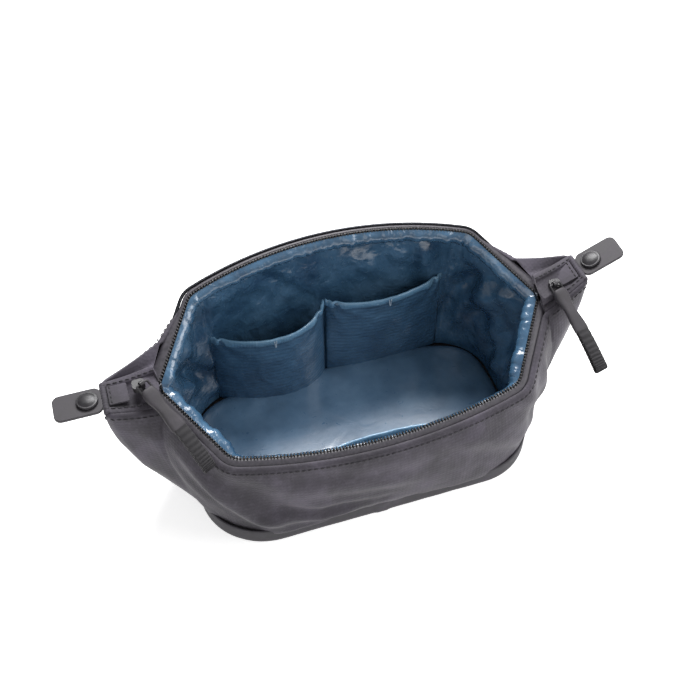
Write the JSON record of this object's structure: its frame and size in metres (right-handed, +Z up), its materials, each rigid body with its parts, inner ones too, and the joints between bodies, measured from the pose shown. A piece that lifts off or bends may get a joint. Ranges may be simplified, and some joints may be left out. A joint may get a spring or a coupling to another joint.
{
  "type": "shaving kit bag",
  "caption": "Soft wide-mouth wash bag with a wire-framed zip mouth, folding snap wings at the ends, an inner lining with slip pockets and a banded base.",
  "frame": {"origin": "middle of the base panel's underside, on the surface the bag stands on", "axes": "+Z up, +X along the bag towards the right-hand wing, +Y towards the back wall that carries the two pockets"},
  "size_m": [0.4219, 0.1562, 0.1519],
  "materials": {
    "waxed_canvas": "matte waxed",
    "coated_base": "matte",
    "stiffener_board": "matte",
    "coated_lining": "glossy coated",
    "pocket_binding": "satin",
    "woven_tag": "matte",
    "spring_steel": "bright",
    "zip_tape": "satin coated",
    "zip_coil": "satin",
    "moulded_rubber": "matte",
    "blackened_metal": "semi gloss",
    "webbing": "ribbed"
  },
  "bodies": {
    "bag_body": {"base_panel": "coated_base", "base_board": "stiffener_board", "base_strip": "coated_base", "floor_pad": "coated_lining", "front_wall": "waxed_canvas", "back_wall": "waxed_canvas", "left_end_wall": "waxed_canvas", "right_end_wall": "waxed_canvas", "front_lining": "coated_lining", "back_lining": "coated_lining", "left_end_lining": "coated_lining", "right_end_lining": "coated_lining", "left_back_pocket": "coated_lining", "left_back_pocket_binding": "pocket_binding", "right_back_pocket": "coated_lining", "right_back_pocket_binding": "pocket_binding", "front_slip_pocket": "coated_lining", "front_slip_pocket_binding": "pocket_binding", "inner_tag": "woven_tag", "left_snap_socket": "blackened_metal", "right_snap_socket": "blackened_metal", "left_hinge_pin": "spring_steel", "right_hinge_pin": "spring_steel"},
    "front_frame": {"front_frame_wire": "spring_steel", "front_wire_casing": "coated_lining", "front_zip_coil": "zip_coil", "front_zip_tape": "zip_tape"},
    "back_frame": {"back_frame_wire": "spring_steel", "back_wire_casing": "coated_lining", "back_zip_coil": "zip_coil", "back_zip_tape": "zip_tape"},
    "left_wing": {"left_wing_panel": "waxed_canvas", "left_wing_patch": "waxed_canvas", "left_wing_piping": "moulded_rubber"},
    "left_tab_body": {"left_tab": "moulded_rubber", "left_snap_cap": "blackened_metal", "left_snap_stud": "blackened_metal"},
    "left_slider_body": {"left_slider": "blackened_metal"},
    "left_bail_body": {"left_pull_bail": "blackened_metal"},
    "left_pull_body": {"left_pull_sleeve": "moulded_rubber", "left_pull_webbing": "webbing"},
    "right_wing": {"right_wing_panel": "waxed_canvas", "right_wing_patch": "waxed_canvas", "right_wing_piping": "moulded_rubber"},
    "right_tab_body": {"right_tab": "moulded_rubber", "right_snap_cap": "blackened_metal", "right_snap_stud": "blackened_metal"},
    "right_slider_body": {"right_slider": "blackened_metal"},
    "right_bail_body": {"right_pull_bail": "blackened_metal"},
    "right_pull_body": {"right_pull_sleeve": "moulded_rubber", "right_pull_webbing": "webbing"}
  },
  "joints": [
    {"name": "front_frame_fold", "type": "hinge", "parent": "bag_body", "child": "front_frame", "pos_m": [0, 0, 0.114], "axis": [-1, 0, 0], "range_deg": [0, 116.4]},
    {"name": "back_frame_fold", "type": "hinge", "parent": "bag_body", "child": "back_frame", "pos_m": [0, 0, 0.114], "axis": [1, 0, 0], "range_deg": [0, 63.2]},
    {"name": "left_wing_fold", "type": "hinge", "parent": "bag_body", "child": "left_wing", "pos_m": [-0.1605, 0, 0.116], "axis": [0, -1, 0], "range_deg": [0, 88]},
    {"name": "left_tab_bend", "type": "hinge", "parent": "left_wing", "child": "left_tab_body", "pos_m": [-0.1819, 0, 0.116], "axis": [0, 1, 0], "range_deg": [0, 60]},
    {"name": "left_slider_travel", "type": "slide", "parent": "bag_body", "child": "left_slider_body", "axis": [1, 0, 0], "range_m": [0, 0.003]},
    {"name": "left_bail_swing", "type": "hinge", "parent": "left_slider_body", "child": "left_bail_body", "pos_m": [-0.1528, -0.0026, 0.1254], "axis": [-0.866, -0.5, 0], "range_deg": [0, 116.4]},
    {"name": "left_pull_swing", "type": "hinge", "parent": "left_bail_body", "child": "left_pull_body", "pos_m": [-0.14924, -0.00877, 0.12177], "axis": [-0.866, -0.5, 0], "range_deg": [0, 40]},
    {"name": "right_wing_fold", "type": "hinge", "parent": "bag_body", "child": "right_wing", "pos_m": [0.1605, 0.008, 0.116], "axis": [0, 1, 0], "range_deg": [0, 114]},
    {"name": "right_tab_bend", "type": "hinge", "parent": "right_wing", "child": "right_tab_body", "pos_m": [0.17973, 0.008, 0.12538], "axis": [0, -1, 0], "range_deg": [-20, 40]},
    {"name": "right_slider_travel", "type": "slide", "parent": "bag_body", "child": "right_slider_body", "axis": [-1, 0, 0], "range_m": [0, 0.003]},
    {"name": "right_bail_swing", "type": "hinge", "parent": "right_slider_body", "child": "right_bail_body", "pos_m": [0.1528, -0.0026, 0.1254], "axis": [-0.9703, -0.2419, 0], "range_deg": [0, 116.4]},
    {"name": "right_pull_swing", "type": "hinge", "parent": "right_bail_body", "child": "right_pull_body", "pos_m": [0.15452, -0.00952, 0.12177], "axis": [-0.9703, -0.2419, 0], "range_deg": [-8, 40]}
  ],
  "couplings": [
    {"joint": "left_bail_swing", "follows": "front_frame_fold", "ratio": 1},
    {"joint": "right_bail_swing", "follows": "front_frame_fold", "ratio": 1}
  ]
}
